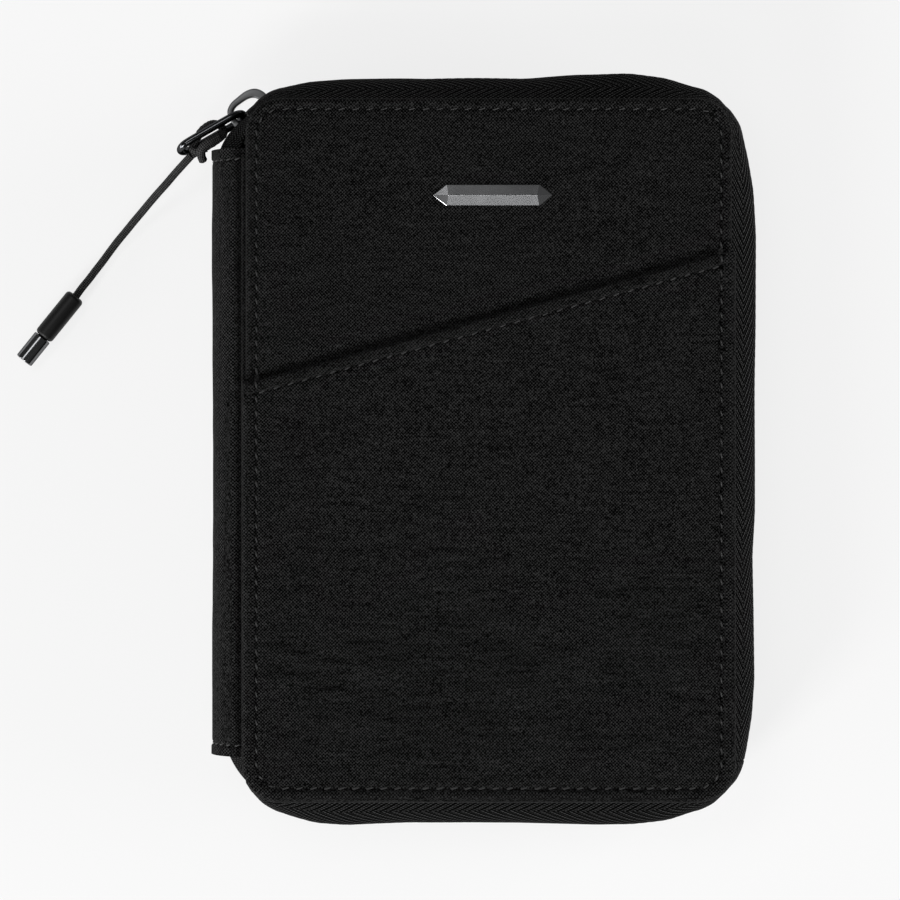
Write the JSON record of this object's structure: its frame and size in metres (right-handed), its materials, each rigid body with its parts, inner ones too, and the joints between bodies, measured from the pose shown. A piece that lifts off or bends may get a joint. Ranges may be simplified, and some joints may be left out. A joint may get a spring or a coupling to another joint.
{
  "type": "travel document organizer",
  "caption": "Zip-around fabric travel document organizer with a folding spine, slanted slip pocket, inner pockets and a corded zip pull.",
  "frame": {"origin": "centre of the back cover's outer face, on which the organizer lies", "axes": "+X away from the spine across the covers, +Y up the covers towards the top edge, +Z out of the front cover"},
  "size_m": [0.1669, 0.1682, 0.0283],
  "materials": {
    "shell_fabric": "matt fine plain weave",
    "zip_tape": "herringbone woven tape",
    "lining_fabric": "smooth lining cloth",
    "board": "matt",
    "gunmetal": "polished gunmetal",
    "black_metal": "gloss black",
    "cord_braid": "braided",
    "soft_plastic": "satin"
  },
  "bodies": {
    "back_cover": {"back_outer_panel": "shell_fabric", "back_stiffener": "board", "back_lining": "lining_fabric", "zip_tape_back": "zip_tape", "zip_coil_back": "soft_plastic", "zip_end_stop": "gunmetal", "boarding_pass_pocket": "lining_fabric", "passport_pocket": "lining_fabric", "pocket_zip_tape_upper": "zip_tape", "pocket_zip_tape_lower": "zip_tape", "pocket_zip_coil": "soft_plastic"},
    "spine": {"spine_outer": "shell_fabric", "spine_lining": "lining_fabric", "zip_end_top": "zip_tape", "zip_end_bottom": "zip_tape"},
    "front_cover": {"front_outer_panel": "shell_fabric", "front_slip_pocket": "shell_fabric", "front_stiffener": "board", "front_lining": "lining_fabric", "zip_tape_front": "zip_tape", "zip_coil_front": "soft_plastic", "badge_bar": "gunmetal", "document_pocket": "lining_fabric", "card_slot_1": "lining_fabric", "card_slot_2": "lining_fabric", "card_slot_3": "lining_fabric", "card_slot_4": "lining_fabric"},
    "slide_pin": {"slider_lock_pin": "gunmetal"},
    "main_slider": {"slider_body": "gunmetal", "slider_bridge": "gunmetal"},
    "ring": {"pull_ring": "black_metal", "cord_hitch": "cord_braid"},
    "cord": {"pull_cord": "cord_braid", "toggle_sleeve": "soft_plastic", "toggle_tip": "gunmetal"},
    "small_slider": {"pocket_slider": "gunmetal"},
    "small_tab": {"pocket_pull_tab": "black_metal"}
  },
  "joints": [
    {"name": "spine_fold", "type": "hinge", "parent": "back_cover", "child": "spine", "pos_m": [-0.0546, 0, 0.0013], "axis": [0, -1, 0], "range_deg": [0, 90], "deforming": ["zip_end_top", "zip_end_bottom"]},
    {"name": "front_fold", "type": "hinge", "parent": "spine", "child": "front_cover", "pos_m": [-0.0546, 0, 0.027], "axis": [0, -1, 0], "range_deg": [0, 90]},
    {"name": "zip_slide", "type": "slide", "parent": "back_cover", "child": "slide_pin", "axis": [0.9913, 0.1318, 0], "range_m": [0, 0.0814], "deforming": ["zip_coil_back", "zip_coil_front"]},
    {"name": "slider_turn", "type": "hinge", "parent": "slide_pin", "child": "main_slider", "pos_m": [-0.05269, 0.07373, 0.0135], "axis": [0, 0, 1], "range_deg": [-33, 0]},
    {"name": "ring_swing", "type": "hinge", "parent": "main_slider", "child": "ring", "pos_m": [-0.05509, 0.07504, 0.0135], "axis": [0, 0, 1], "range_deg": [-150, 0]},
    {"name": "cord_swing", "type": "hinge", "parent": "ring", "child": "cord", "pos_m": [-0.0667, 0.066, 0.013], "axis": [0, 0, 1], "range_deg": [0, 38]},
    {"name": "pocket_zip_slide", "type": "slide", "parent": "back_cover", "child": "small_slider", "axis": [1, 0, 0], "range_m": [0, 0.072]},
    {"name": "pocket_tab_turn", "type": "hinge", "parent": "small_slider", "child": "small_tab", "pos_m": [-0.034, 0.062, 0.00655], "axis": [0, -1, 0], "range_deg": [0, 165]}
  ],
  "couplings": [
    {"joint": "front_fold", "follows": "spine_fold", "ratio": 1},
    {"joint": "zip_slide", "follows": "spine_fold", "m_per_rad": 0.0518},
    {"joint": "slider_turn", "follows": "spine_fold", "ratio": -0.3666},
    {"joint": "ring_swing", "follows": "spine_fold", "ratio": -1.6666}
  ]
}
